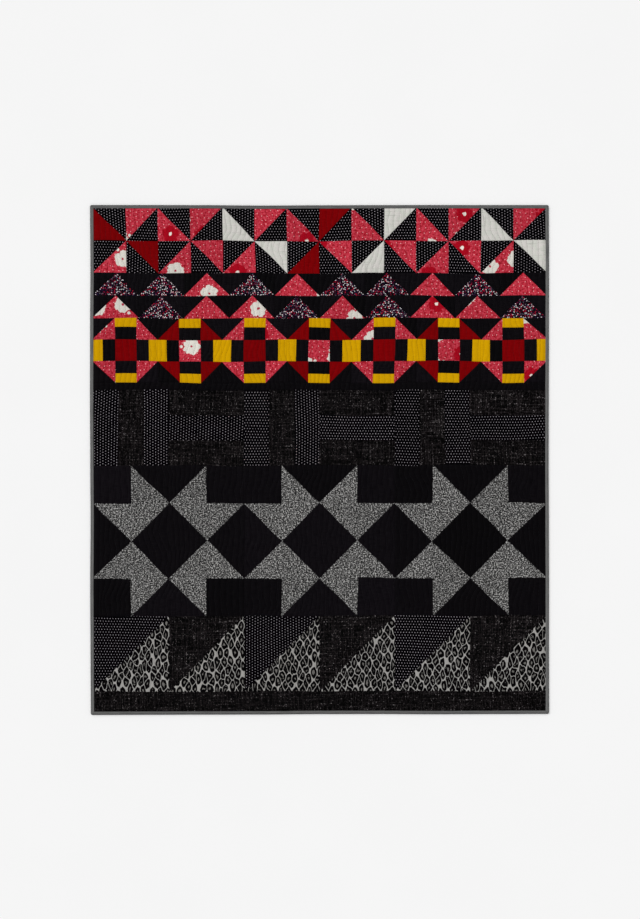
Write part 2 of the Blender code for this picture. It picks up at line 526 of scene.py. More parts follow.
def patch_heights(points, to_side, lies_over):
    """Where a patch's points lie on the quilt: loft, the ditch at the seams, pressed allowances."""
    across, along = wander(points[:, 0], points[:, 1])
    x, y = points[:, 0] + across, points[:, 1] + along
    height, rise = loft(x, y)
    drawn = DITCH_IN_VALLEY + (1 - DITCH_IN_VALLEY) * rise
    height = height - DITCH_DEPTH * drawn * (1 - smooth(to_side / DITCH_WIDTH))
    if lies_over:
        ridge = smooth(to_side / DITCH_WIDTH) * (1 - smooth((to_side - ALLOWANCE) / DITCH_WIDTH))
        height = height + ALLOWANCE_HEIGHT * ridge * rise
    return np.column_stack([*uneven(x, y), height])


def placed(name, data):
    """A new object of the scene, at the origin."""
    thing = bpy.data.objects.new(name, data)
    bpy.context.scene.collection.objects.link(thing)
    return thing


def piece_from(name, points, faces, cloth, material, tone):
    """An object from points and faces, with its place on the cloth in metres and its tone, which on
    the binding also holds painted shade.
    """
    mesh = bpy.data.meshes.new(name)
    mesh.from_pydata(points.tolist(), [], faces)
    corner_points = np.empty(len(mesh.loops), int)
    mesh.loops.foreach_get("vertex_index", corner_points)
    mesh.uv_layers.new(name="cloth")
    mesh.uv_layers["cloth"].uv.foreach_set("vector", cloth[corner_points].ravel())
    mesh.attributes.new("tone", "FLOAT", "POINT").data.foreach_set("value", tone)
    mesh.shade_smooth()
    mesh.materials.append(material)
    return placed(name, mesh)


def flat_area(corners):
    x, y = corners[:, 0], corners[:, 1]
    return abs(np.dot(x, np.roll(y, -1)) - np.dot(y, np.roll(x, -1))) / 2


# Finishes. Sizes in them are in millimetres on the cloth.


def linear(colour):
    """An sRGB hex colour as linear values with full opacity."""
    parts = [int(colour[k : k + 2], 16) / 255 for k in (1, 3, 5)]
    parts = [part / 12.92 if part <= 0.04045 else ((part + 0.055) / 1.055) ** 2.4 for part in parts]
    return (*parts, 1.0)


def add(tree, kind, inputs=None, out=0, **settings):
    """Adds a node with its settings, sets or links its inputs, and returns one of its outputs."""
    node = tree.nodes.new(kind)
    for name, value in settings.items():
        setattr(node, name, value)
    for key, value in (inputs or {}).items():
        if isinstance(value, bpy.types.NodeSocket):
            tree.links.new(value, node.inputs[key])
        else:
            node.inputs[key].default_value = value
    return node.outputs[out] if node.outputs else node


# The kinds of node that the finishes use most
MATH = "ShaderNodeMath"
VECTOR = "ShaderNodeVectorMath"
PARTS = "ShaderNodeSeparateXYZ"
JOINED = "ShaderNodeCombineXYZ"
TURNED = "ShaderNodeVectorRotate"
DICE = "ShaderNodeSeparateColor"
MIX = "ShaderNodeMix"
RANGE = "ShaderNodeMapRange"
NOISE = "ShaderNodeTexNoise"
CELLS = "ShaderNodeTexVoronoi"


def print_over(tree, ground, ink, amount, bare, full):
    """Prints an ink over a ground: none of it where the amount is at bare, all of it at full.

    Each of the two is an sRGB hex colour, or the colour that an earlier print gives.
    """
    ground, ink = (linear(tint) if isinstance(tint, str) else tint for tint in (ground, ink))
    cover = add(tree, RANGE, {0: amount, 1: bare, 2: full}, interpolation_type="SMOOTHSTEP")
    return add(tree, MIX, {0: cover, 6: ground, 7: ink}, out=2, data_type="RGBA")


def grain_of(tree, place, across, along, seed, detail=2.0):
    """Noise whose features are so many millimetres across and along the cloth."""
    scaled = add(tree, VECTOR, {0: place, 1: (across, along, 1.0)}, operation="DIVIDE")
    moved = add(tree, VECTOR, {0: scaled, 1: (seed, seed * 0.7, 0.0)}, operation="ADD")
    return add(tree, NOISE, {"Vector": moved, "Scale": 1.0, "Detail": detail}, noise_dimensions="2D")


def plain_weave(tree, place, pitch, height):
    """Threads that pass over and under each other, as a height in millimetres."""
    waves = add(tree, VECTOR, {0: place, "Scale": math.pi / pitch}, operation="SCALE")
    waves = add(tree, VECTOR, {0: waves}, operation="SINE")
    across = add(tree, PARTS, {0: waves})
    crossed = add(tree, MATH, {0: across, 1: across.node.outputs[1]}, operation="MULTIPLY")
    return add(tree, MATH, {0: crossed, 1: height}, operation="MULTIPLY")


def plain_print(colour, lighter):
    """Piece-dyed cloth: one colour, faintly lighter and darker along the threads."""

    def build(tree, place):
        streaks = grain_of(tree, place, 1.6, 27.0, seed=3.1)
        crossing = grain_of(tree, place, 27.0, 1.6, seed=7.7)
        both = add(tree, MATH, {0: streaks, 1: crossing}, operation="ADD")
        return print_over(tree, colour, lighter, both, 0.75, 1.25)

    return build


DOT_ACROSS, DOT_ALONG, DOT_RADIUS = 8.4, 8.3, 1.0


def pin_dot_print(tree, place):
    """Small pale dots in staggered rows on near-black cotton, some printed thinner."""
    cells = add(tree, VECTOR, {0: place, 1: (DOT_ACROSS, DOT_ALONG, 1.0)}, operation="DIVIDE")
    along = add(tree, PARTS, {0: cells}, out=1)
    row = add(tree, MATH, {0: along}, operation="FLOOR")
    half_a_cell = add(tree, MATH, {0: row, 1: 0.5}, operation="MULTIPLY")
    stagger = add(tree, JOINED, {0: half_a_cell})
    cells = add(tree, VECTOR, {0: cells, 1: stagger}, operation="ADD")
    cells = add(tree, VECTOR, {0: cells}, operation="FRACTION")
    middle = add(tree, VECTOR, {0: cells, 1: (0.5, 0.5, 0.0)}, operation="SUBTRACT")
    middle = add(tree, VECTOR, {0: middle, 1: (DOT_ACROSS, DOT_ALONG, 0.0)}, operation="MULTIPLY")
    away = add(tree, VECTOR, {0: middle}, out=1, operation="LENGTH")
    uneven_ink = grain_of(tree, place, 4.5, 4.5, detail=1.0, seed=2.0)
    away = add(tree, MATH, {0: uneven_ink, 1: 0.8, 2: away}, operation="MULTIPLY_ADD")
    return print_over(tree, "#030204", "#bcb4bb", away, DOT_RADIUS + 0.62, DOT_RADIUS + 0.12)


BLOSSOM_SPACING, BLOSSOM_RADIUS, FLECK_SPACING = 108.0, 20.0, 15.5
BUD_AWAY, BUD_RADIUS = 31.0, 4.6
RAGGED = 9.0
LOBES = (
    # half the number of lobes, how far they reach
    (2.5, 4.2),
    (4.5, 2.4),
)


def red_floral_print(tree, place):
    """Red chambray with pale flecks, and loose blossoms in white and deep red, each with a bud."""
    weft = grain_of(tree, place, 9.0, 3.4, seed=1.0)
    warp = grain_of(tree, place, 3.4, 9.0, seed=4.0)
    heather = add(tree, MATH, {0: weft, 1: warp}, operation="ADD")
    ground = print_over(tree, "#911420", "#b72f3f", heather, 0.75, 1.0)
    ground = print_over(tree, ground, "#c74554", heather, 1.0, 1.25)
    stain = grain_of(tree, place, 13.0, 20.0, detail=3.0, seed=12.0)
    ground = print_over(tree, ground, "#9c1320", stain, 0.56, 0.86)
    strewn = {"Vector": place, "Scale": 1 / FLECK_SPACING, "Randomness": 0.55}
    fleck = add(tree, CELLS, strewn, voronoi_dimensions="2D")
    ground = print_over(tree, ground, "#ffd0d0", fleck, 0.080, 0.055)

    strewn = {"Vector": place, "Scale": 1 / BLOSSOM_SPACING, "Randomness": 0.62}
    bloom = add(tree, CELLS, strewn, out="Position", voronoi_dimensions="2D")
    dice = add(tree, DICE, {0: bloom.node.outputs["Color"]})
    local = add(tree, VECTOR, {0: place, 1: bloom}, operation="SUBTRACT")
    turn = add(tree, MATH, {0: dice, 1: 2 * math.pi}, operation="MULTIPLY")
    local = add(tree, TURNED, {"Vector": local, "Angle": turn}, rotation_type="Z_AXIS")
    ragged = grain_of(tree, place, 8.0, 8.0, seed=6.0)
    ragged = add(tree, MATH, {0: ragged, 1: RAGGED, 2: -RAGGED / 2}, operation="MULTIPLY_ADD")
    parts = add(tree, PARTS, {0: local})
    angle = add(tree, MATH, {0: parts.node.outputs[1], 1: parts}, operation="ARCTAN2")
    away = add(tree, VECTOR, {0: local}, out=1, operation="LENGTH")
    away = add(tree, MATH, {0: away, 1: ragged}, operation="ADD")
    rim = BLOSSOM_RADIUS
    for half_count, reach in LOBES:
        lobes = add(tree, MATH, {0: angle, 1: half_count}, operation="MULTIPLY")
        lobes = add(tree, MATH, {0: lobes}, operation="SINE")
        lobes = add(tree, MATH, {0: lobes}, operation="ABSOLUTE")
        rim = add(tree, MATH, {0: lobes, 1: reach, 2: rim}, operation="MULTIPLY_ADD")
    inside = add(tree, MATH, {0: rim, 1: away}, operation="SUBTRACT")
    bud = add(tree, VECTOR, {0: local, 1: (BUD_AWAY, 0.0, 0.0)}, out=1, operation="DISTANCE")
    bud = add(tree, MATH, {0: BUD_RADIUS, 1: bud}, operation="SUBTRACT")
    inside = add(tree, MATH, {0: inside, 1: bud}, operation="MAXIMUM")

    vein = grain_of(tree, place, 3.0, 3.0, seed=8.0)
    white = print_over(tree, "#c9c6bc", "#dfdad2", vein, 0.3, 0.7)
    white = print_over(tree, white, "#a83046", away, 4.6, 3.2)
    deep = print_over(tree, "#930618", "#a90d20", vein, 0.3, 0.7)
    deep = print_over(tree, deep, "#e0d8cf", away, 5.6, 4.4)
    ink = print_over(tree, deep, white, dice.node.outputs[1], 0.42, 0.44)
    return print_over(tree, ground, ink, inside, -0.7, 0.7)


CONFETTI_LAYERS = (
    # spacing, length, width, share that is left out, two inks
    (6.3, 5.4, 2.4, 0.48, "#1b1634", "#620f2e"),
    (5.9, 4.6, 2.1, 0.52, "#a41530", "#45102f"),
    (5.4, 3.6, 1.6, 0.46, "#e6e4e5", "#67626f"),
)


def confetti_print(tree, place):
    """Short dashes of white, crimson and navy thrown in all directions on black."""
    colour = "#08070c"
    for layer, (spacing, long, wide, left_out, first, second) in enumerate(CONFETTI_LAYERS):
        moved = add(tree, VECTOR, {0: place, 1: (137.0 * layer, 61.0 * layer, 0.0)}, operation="ADD")
        thrown = {"Vector": moved, "Scale": 1 / spacing, "Randomness": 0.9}
        spot = add(tree, CELLS, thrown, out="Position", voronoi_dimensions="2D")
        dice = add(tree, DICE, {0: spot.node.outputs["Color"]})
        local = add(tree, VECTOR, {0: moved, 1: spot}, operation="SUBTRACT")
        angle = add(tree, MATH, {0: dice, 1: math.pi}, operation="MULTIPLY")
        local = add(tree, TURNED, {"Vector": local, "Angle": angle}, rotation_type="Z_AXIS")
        reach = add(tree, VECTOR, {0: local}, operation="ABSOLUTE")
        beyond = add(tree, VECTOR, {0: reach, 1: (long / 2, wide / 2, 0.0)}, operation="SUBTRACT")
        parts = add(tree, PARTS, {0: beyond})
        beyond = add(tree, MATH, {0: parts, 1: parts.node.outputs[1]}, operation="MAXIMUM")
        dropped = add(tree, MATH, {0: dice.node.outputs[2], 1: left_out}, operation="LESS_THAN")
        beyond = add(tree, MATH, {0: dropped, 1: beyond}, operation="ADD")
        ink = print_over(tree, first, second, dice.node.outputs[1], 0.58, 0.60)
        colour = print_over(tree, colour, ink, beyond, 0.3, -0.3)
    return colour


def grey_tweed_print(tree, place):
    """Salt-and-pepper tweed: looped grains of pale and black yarn about 4 mm long."""
    yarn = grain_of(tree, place, 6.2, 6.2, detail=1.0, seed=1.0)
    twist = grain_of(tree, place, 3.2, 4.4, detail=1.0, seed=5.0)
    curl = add(tree, MATH, {0: yarn, 1: 0.5}, operation="SUBTRACT")
    curl = add(tree, MATH, {0: curl}, operation="ABSOLUTE")
    colour = print_over(tree, "#9a9998", "#3f3e3e", curl, 0.015, 0.075)
    colour = print_over(tree, colour, "#0f0f0f", twist, 0.50, 0.38)
    return print_over(tree, colour, "#b7b6b4", twist, 0.60, 0.72)


SLUB_YARN, SLUB_LENGTH = 2.5, 4.2


def black_slub_print(tree, place):
    """Black tweed: here and there a yarn, of either direction, shows a thick pale place."""
    warp = grain_of(tree, place, 3.0, 90.0, seed=4.0)
    weft = grain_of(tree, place, 90.0, 3.0, seed=9.0)
    yarns = add(tree, MATH, {0: warp, 1: weft}, operation="MAXIMUM")
    colour = print_over(tree, "#020202", "#171415", yarns, 0.50, 0.74)
    parts = add(tree, PARTS, {0: place})
    directions = (
        # way along the yarn, way across it, how slubbed each yarn is, seed
        (parts, parts.node.outputs[1], weft, 3.0),
        (parts.node.outputs[1], parts, warp, 8.0),
    )
    for run, beside, slubbed, seed in directions:
        yarn = add(tree, MATH, {0: beside, 1: SLUB_YARN}, operation="SNAP")
        yarn = add(tree, MATH, {0: yarn, 1: 1.7, 2: seed}, operation="MULTIPLY_ADD")
        run = add(tree, MATH, {0: run, 1: SLUB_LENGTH}, operation="DIVIDE")
        spot = {"Vector": add(tree, JOINED, {0: run, 1: yarn}), "Scale": 1.0, "Detail": 1.0}
        thick = add(tree, NOISE, spot, noise_dimensions="2D")
        middle = add(tree, MATH, {0: beside, 1: SLUB_YARN / 2}, operation="PINGPONG")
        thick = add(tree, MATH, {0: middle, 1: 0.10, 2: thick}, operation="MULTIPLY_ADD")
        thick = add(tree, MATH, {0: slubbed, 1: 0.6, 2: thick}, operation="MULTIPLY_ADD")
        colour = print_over(tree, colour, "#282425", thick, 0.98, 1.12)
        colour = print_over(tree, colour, "#827d7e", thick, 1.16, 1.28)
    return colour


SPOT_ACROSS, SPOT_ALONG = 15.6, 29.0
SPOT_UNEVEN, SPOT_SWAY = 0.52, 0.62


def spotted_print(tree, place):
    """Animal spots: staggered upright ovals, broken black rings with grey middles, in a pale net."""
    cells = add(tree, VECTOR, {0: place, 1: (SPOT_ACROSS, SPOT_ALONG, 1.0)}, operation="DIVIDE")
    drift = {"Vector": cells, "Scale": 0.8, "Detail": 2.0}
    sway = add(tree, NOISE, drift, out=1, noise_dimensions="2D")
    sway = add(tree, VECTOR, {0: sway, 1: (0.5, 0.5, 0.5)}, operation="SUBTRACT")
    sway = add(tree, VECTOR, {0: sway, 1: (SPOT_SWAY, SPOT_SWAY, 0.0)}, operation="MULTIPLY")
    cells = add(tree, VECTOR, {0: cells, 1: sway}, operation="ADD")
    staggered = {"Vector": cells, "Angle": math.radians(45)}
    cells = add(tree, TURNED, staggered, rotation_type="Z_AXIS")
    strewn = {"Vector": cells, "Scale": 1.0, "Randomness": SPOT_UNEVEN}
    edge = add(tree, CELLS, strewn, voronoi_dimensions="2D", feature="DISTANCE_TO_EDGE")
    away = add(tree, CELLS, strewn, voronoi_dimensions="2D")
    dice = add(tree, DICE, {0: away.node.outputs["Color"]})
    reach = add(tree, MATH, {0: dice, 1: 0.12, 2: 0.56}, operation="MULTIPLY_ADD")
    rounded = add(tree, MATH, {0: reach, 1: away}, operation="SUBTRACT")
    depth = add(tree, MATH, {0: edge, 1: rounded, 2: 0.10}, operation="SMOOTH_MIN")
    gaps = grain_of(tree, place, 5.5, 8.0, detail=1.0, seed=3.0)
    spot = print_over(tree, "#040304", "#6b6966", depth, 0.36, 0.41)
    opened = add(tree, MATH, {0: gaps, 1: 1.6, 2: depth}, operation="MULTIPLY_ADD")
    spot = print_over(tree, spot, "#6b6966", opened, 1.37, 1.41)
    return print_over(tree, "#999794", spot, depth, 0.02, 0.06)


def white_linen_print(tree, place):
    """Bleached linen: fine grey lines both ways, where the yarns lie thinner."""
    warp = grain_of(tree, place, 2.6, 90.0, seed=2.0)
    weft = grain_of(tree, place, 90.0, 2.6, seed=5.0)
    lines = add(tree, MATH, {0: warp, 1: weft}, operation="MAXIMUM")
    haze = grain_of(tree, place, 14.0, 14.0, seed=9.0)
    colour = print_over(tree, "#cecbc6", "#c8c9c1", haze, 0.4, 0.6)
    return print_over(tree, colour, "#acaca5", lines, 0.62, 0.76)


def surface(name, roughness, specular):
    """A new material with its roughness and shine, its node tree and its shader."""
    material = bpy.data.materials.new(name)
    material.use_nodes = True
    shader = material.node_tree.nodes["Principled BSDF"]
    shader.inputs["Roughness"].default_value = roughness
    shader.inputs["Specular IOR Level"].default_value = specular
    return material, material.node_tree, shader


def fabric(name, colours, weave_mm=1.2, weave_height=0.10, roughness=0.8, specular=0.015):
    """A woven cloth: its print on the cloth's own coordinates, its tone, which on the binding also
    holds painted shade, and the weave's relief.

    A quilting cotton's threads are about 0.35 mm apart, too fine to show, so the weave is drawn
    at weave_mm, as coarse as it needs to show.
    """
    material, tree, shader = surface(name, roughness, specular)
    metres = add(tree, "ShaderNodeUVMap", uv_map="cloth")
    place = add(tree, VECTOR, {0: metres, "Scale": 1000.0}, operation="SCALE")
    tone = add(tree, "ShaderNodeAttribute", out="Fac", attribute_name="tone")
    printed = colours(tree, place)
    toned = add(tree, VECTOR, {0: printed, "Scale": tone}, operation="SCALE")
    tree.links.new(toned, shader.inputs["Base Color"])
    threads = plain_weave(tree, place, weave_mm, weave_height)
    crinkle = grain_of(tree, place, 6.0, 6.0, detail=3.0, seed=11.0)
    relief = add(tree, MATH, {0: crinkle, 1: 0.35, 2: threads}, operation="MULTIPLY_ADD")
    bump = add(tree, "ShaderNodeBump", {"Height": relief, "Strength": 1.0, "Distance": 0.001})
    tree.links.new(bump, shader.inputs["Normal"])
    return material


Fabric = namedtuple("Fabric", "slot, finish, tones, lies_over, any_way_up", defaults=(False, True))

# Each fabric's slot and finish, how light its patches come out, whether its seam allowances are
# pressed under it, and whether its patches are cut any way up
FABRICS = {
    "black": Fabric(
        "black_cotton",
        # Black sateen-faced cotton: dark, with a low gloss that draws the grain of the quilting
        fabric(
            "dyed black cotton",
            plain_print("#050306", "#0e0b0f"),
            roughness=0.52,
            specular=0.026,
        ),
        tones=(0.4, 1.2),
        lies_over=True,
    ),
    "pin dot": Fabric(
        "pin_dot_cotton",
        # Printed dot on black cotton: an even sparkle of dots against a matte dark ground
        fabric("pin-dot cotton", pin_dot_print),
        tones=(0.82, 1.02),
        lies_over=True,
    ),
    "red floral": Fabric(
        "red_floral_cotton",
        # Chambray with a discharge print: the mottled ground looks warm and slightly worn
        fabric("printed red chambray", red_floral_print),
        tones=(0.92, 1.08),
    ),
    "dark red": Fabric(
        "dark_red_cotton",
        # Solid-dyed cotton: deep and even, with soft shade in the quilting
        fabric("dyed deep red cotton", plain_print("#6e0003", "#7b0307")),
        tones=(0.92, 1.06),
    ),
    "white linen": Fabric(
        "white_linen",
        # Washed linen: bright, with uneven yarns that catch the light as fine lines both ways
        fabric("bleached linen", white_linen_print, weave_mm=1.6, weave_height=0.14),
        tones=(0.97, 1.02),
    ),
    "yellow": Fabric(
        "yellow_cotton",
        # Solid-dyed cotton: strong colour that shows every furrow of the quilting
        fabric("dyed yellow cotton", plain_print("#c39200", "#cc9c04")),
        tones=(0.96, 1.05),
    ),
    "confetti": Fabric(
        "confetti_cotton",
        # Screen-printed cotton: crisp dashes that mix to a purple grey from a step away
        fabric("confetti print cotton", confetti_print),
        tones=(0.95, 1.05),
        lies_over=True,
    ),
    "grey tweed": Fabric(
        "grey_tweed",
        # Wool tweed: two yarn colours break the surface into grains, with a rough face
        fabric("salt-and-pepper tweed", grey_tweed_print, weave_mm=2.4, weave_height=0.22),
        tones=(0.88, 1.06),
    ),
    "black slub": Fabric(
        "black_slub_tweed",
        # Black tweed with slubs: a dark cloth that pale flecks keep from going flat
        fabric("black slub tweed", black_slub_print, weave_mm=2.4, weave_height=0.20),
        tones=(0.85, 1.15),
        lies_over=True,
    ),
    "spotted": Fabric(
        "spotted_cotton",
        # Printed cotton: high-contrast spots, all upright, in a pale net
        fabric("spotted print cotton", spotted_print),
        tones=(0.96, 1.04),
        any_way_up=False,
    ),
}


def binding_finish():
    """Grey cotton cut on the grain: matte, with the fine rib of its weave across the strip."""

    def colours(tree, place):
        ribs = grain_of(tree, place, 40.0, 1.4, seed=3.0)
        flecks = grain_of(tree, place, 2.2, 1.4, seed=6.0)
        both = add(tree, MATH, {0: ribs, 1: flecks}, operation="ADD")
        return print_over(tree, "#5c5c5c", "#747473", both, 0.7, 1.3)

    return fabric("grey binding cotton", colours, weave_height=0.12)


def thread_finish(name, colour):
    """Spun polyester thread: a hard twist, with a low shine that cloth doesn't have, and painted
    highlights on its fibres.
    """
    material, tree, shader = surface(name, roughness=0.6, specular=0.15)
    metres = add(tree, "ShaderNodeTexCoord", out="Object")
    place = add(tree, VECTOR, {0: metres, "Scale": 1000.0}, operation="SCALE")
    fibres = add(tree, NOISE, {"Vector": place, "Scale": 0.9, "Detail": 2.0})
    # Painted highlight: the fibres of the twist are up to 1.8 times lighter, as where they catch the
    # light
    painted_glint = 1.8
    lighter = tuple(min(1.0, part * painted_glint) for part in linear(colour))
    twist_with_painted_glint = print_over(tree, colour, lighter, fibres, 0.2, 0.8)
    tree.links.new(twist_with_painted_glint, shader.inputs["Base Color"])
    bump = add(tree, "ShaderNodeBump", {"Height": fibres, "Strength": 0.5, "Distance": 0.0004})
    tree.links.new(bump, shader.inputs["Normal"])
    return material


# Pieces


def make_top():
    """One piece for each fabric of the top, made of its patches."""
    grid = ClothGrid()
    chance = np.random.default_rng(21)
    gathered = {
        name: {"points": [], "faces": [], "cloth": [], "tone": [], "area": 0.0} for name in FABRICS
    }
    for name, corners in pieced_top():
        fabric_cut = FABRICS[name]
        corners = tucked(corners)
        points, to_side, faces = grid.cut(corners)
        gather = gathered[name]
        first = sum(len(part) for part in gather["points"])
        gather["points"].append(patch_heights(points, to_side, fabric_cut.lies_over))
        gather["faces"] += [[first + index for index in face] for face in faces]
        quarters = chance.integers(4) * fabric_cut.any_way_up
        turn = math.radians(90 * quarters + chance.uniform(-OFF_GRAIN, OFF_GRAIN))
        x, y = (points - corners.mean(axis=0)).T
        level = x * math.cos(turn) - y * math.sin(turn)
        upright = x * math.sin(turn) + y * math.cos(turn)
        gather["cloth"].append(np.column_stack([level, upright]) + chance.uniform(0.5, 3.5, 2))
        gather["tone"].append(np.full(len(points), chance.uniform(*fabric_cut.tones)))
        gather["area"] += flat_area(corners)
    for name, gather in gathered.items():
        piece = piece_from(
            f"top_{name.replace(' ', '_')}",
            np.vstack(gather["points"]),
            gather["faces"],
            np.vstack(gather["cloth"]),
            FABRICS[name].finish,
            np.concatenate(gather["tone"]),
        )
        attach(piece, "root")
        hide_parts("quilt_body")


def make_backing():
    """The black sheet underneath, flat on the surface but for the dimples of the quilting."""
    dimple, narrowness, clearance, edge_height = 0.0007, 3, 0.00005, 0.0013
    per_channel, row_count = 4, 104
    reach = LENGTH / 2 - BINDING_REACH + TUCK
    columns = np.arange(-1, per_channel * CHANNELS + 2)
    rows = np.linspace(-reach, reach, row_count)
    unshifted, y = np.meshgrid(columns * LINE_PITCH / per_channel - HALF_FIELD, rows, indexing="ij")
    x = unshifted + grain_shift(unshifted, y)
    drawn = np.abs(np.cos(np.pi * (unshifted + HALF_FIELD) / LINE_PITCH)) ** narrowness
    height = clearance + dimple * drawn
    border = np.minimum(WIDTH / 2 - np.abs(x), LENGTH / 2 - np.abs(y)) - BINDING_REACH
    height = edge_height + (height - edge_height) * smooth(border / EDGE_RISE)
    points = np.column_stack([part.ravel() for part in (*uneven(x, y), height)])
    faces = [
        [start + j, start + j + 1, start + row_count + j + 1, start + row_count + j]
        for start in range(0, row_count * (len(columns) - 1), row_count)
        for j in range(row_count - 1)
    ]
    cloth = np.column_stack([x.ravel(), y.ravel()]) + 1.0
    finish = FABRICS["black"].finish
    backing = piece_from("backing", points, faces, cloth, finish, np.full(len(points), 1.0))
    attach(backing, "root")
    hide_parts("quilt_body")


def turned(side, along, outward):
    """Turns points of the bottom side onto another side."""
    for _ in range(side):
        along, outward = -outward, along
    return along, outward


def side_line(side, depth):
    """Points along one side at a depth in from the edge, from mitre to mitre."""
    length, across = (WIDTH, LENGTH) if side % 2 == 0 else (LENGTH, WIDTH)
    radius = CORNER_RADIUS - (CORNER_RADIUS - INNER_CORNER) * min(depth / BINDING_REACH, 1.0)
    centre = depth + radius
    angles = np.radians(np.linspace(45, 0, CORNER_POINTS))
    corner = np.column_stack([centre - radius * np.sin(angles), centre - radius * np.cos(angles)])
    count = round((length - 2 * BINDING_REACH) / ROW_STEP)
    middle = np.linspace(centre, length - centre, count + 1)[1:-1]
    middle = np.column_stack([middle, np.full(len(middle), depth)])
    far = corner[::-1] * (-1, 1) + (length, 0)
    points = np.vstack([corner, middle, far]) - (length / 2, across / 2)
    return np.column_stack(turned(side, points[:, 0], points[:, 1]))


def binding_profile():
    """The folded strip's cross-section as depth and height: soft faces and a rolled edge."""
    under = [(depth, 0.0) for depth in BINDING_UNDERSIDE]
    edge = []
    for angle in np.radians(np.linspace(-90, 90, 9)):
        depth = BINDING_ROLL * (1 - math.cos(angle))
        edge.append((depth, BINDING_HEIGHT / 2 * (1 + math.sin(angle))))
    face = [(depth, BINDING_HEIGHT + rise) for depth, rise in BINDING_FACE]
    inside = [
        (MOUTH_DEPTH, BINDING_HEIGHT - MOUTH_DROP),
        (BINDING_CLOTH * 2, BINDING_HEIGHT - BINDING_CLOTH),
        (BINDING_CLOTH, BINDING_HEIGHT / 2),
        (BINDING_CLOTH * 2, BINDING_CLOTH),
        (MOUTH_DEPTH, BINDING_CLOTH),
    ]
    return under + edge + face + inside


def make_binding():
    """Four strips of folded cloth, mitred at the corners, each in the place of its solid."""
    finish = binding_finish()
    profile = binding_profile()
    for side, (name, painted_side_shade) in enumerate(BINDING_PAINTED_SHADE.items()):
        loops, cloths, tones = [], [], []
        run = 0.0
        for k, (depth, height) in enumerate(profile):
            line = side_line(side, depth)
            slack = sum(
                rise * cloudy(line[:, 0] + side * 3, line[:, 1], size, seed)
                for rise, size, seed in BINDING_SLACK
            )
            on_face = math.sin(math.pi * min(depth / BINDING_REACH, 1.0))
            lift = slack * on_face * (height > BINDING_HEIGHT / 2)
            loops.append(np.column_stack([*uneven(line[:, 0], line[:, 1]), height + lift]))
            if k:
                run += math.dist(profile[k - 1], profile[k])
            along = line[:, side % 2]
            cloths.append(np.column_stack([along, np.full(len(line), run)]) + 2.0 + side)
            # Painted shade: the strip's darkening for its side, made darker still in a band along the
            # rolled outer fold
            tone = painted_side_shade * (FOLD_PAINTED_SHADE + (1 - FOLD_PAINTED_SHADE) * smooth(depth / FOLD_SHADE_WIDTH))
            tones.append(np.full(len(line), tone))
        count = len(loops[0])
        faces = []
        for k in range(len(loops)):
            near, far = count * k, count * ((k + 1) % len(loops))
            faces += [[near + i, near + i + 1, far + i + 1, far + i] for i in range(count - 1)]
        faces.append([count * k for k in range(len(loops))])
        faces.append([count * k + count - 1 for k in reversed(range(len(loops)))])
        piece = piece_from(
            f"visual_binding_{name}",
            np.vstack(loops),
            faces,
            np.vstack(cloths),
            finish,
            np.concatenate(tones),
        )
        turn_outwards(piece)
        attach(piece, "root")
        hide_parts(f"binding_{name}")


def turn_outwards(piece):
    bm = bmesh.new()
    bm.from_mesh(piece.data)
    bmesh.ops.recalc_face_normals(bm, faces=bm.faces)
    bm.to_mesh(piece.data)
    bm.free()


def stitch_nodes():
    """Geometry Nodes that lay a stitch at every step along the lines that they are given."""
    tree = bpy.data.node_groups.new("running stitches", "GeometryNodeTree")
    sockets = tree.interface
    sockets.new_socket("Geometry", in_out="OUTPUT", socket_type="NodeSocketGeometry")
    sockets.new_socket("Geometry", in_out="INPUT", socket_type="NodeSocketGeometry")
    for name in ("Step", "Stitch length", "Thread width"):
        sockets.new_socket(name, in_out="INPUT", socket_type="NodeSocketFloat")
    sockets.new_socket("Seed", in_out="INPUT", socket_type="NodeSocketInt")
    sockets.new_socket("Thread", in_out="INPUT", socket_type="NodeSocketMaterial")

    lines = add(tree, "NodeGroupInput")
    step, stitch, width, seed, thread = lines.node.outputs[1:6]
    curve = add(tree, "GeometryNodeMeshToCurve", {0: lines})
    spaced = add(tree, "GeometryNodeResampleCurve", {"Curve": curve, "Length": step}, mode="LENGTH")
    bead = add(tree, "GeometryNodeMeshUVSphere", {"Segments": 3, "Rings": 2, "Radius": 0.5})
    along = add(tree, "GeometryNodeInputTangent")
    facing = add(tree, "FunctionNodeAlignRotationToVector", {"Vector": along}, axis="Z")
    limits = {2: SHORTEST_STITCH, 3: LONGEST_STITCH, "Seed": seed}
    tension = add(tree, "FunctionNodeRandomValue", limits, out=1, data_type="FLOAT")
    length = add(tree, MATH, {0: stitch, 1: tension}, operation="MULTIPLY")
    size = add(tree, JOINED, {0: width, 1: width, 2: length})
    laid = {"Points": spaced, "Instance": bead, "Rotation": facing, "Scale": size}
    stitches = add(tree, "GeometryNodeInstanceOnPoints", laid)
    solid = add(tree, "GeometryNodeRealizeInstances", {0: stitches})
    finished = add(tree, "GeometryNodeSetMaterial", {"Geometry": solid, "Material": thread})
    add(tree, "NodeGroupOutput", {0: finished})
    return tree


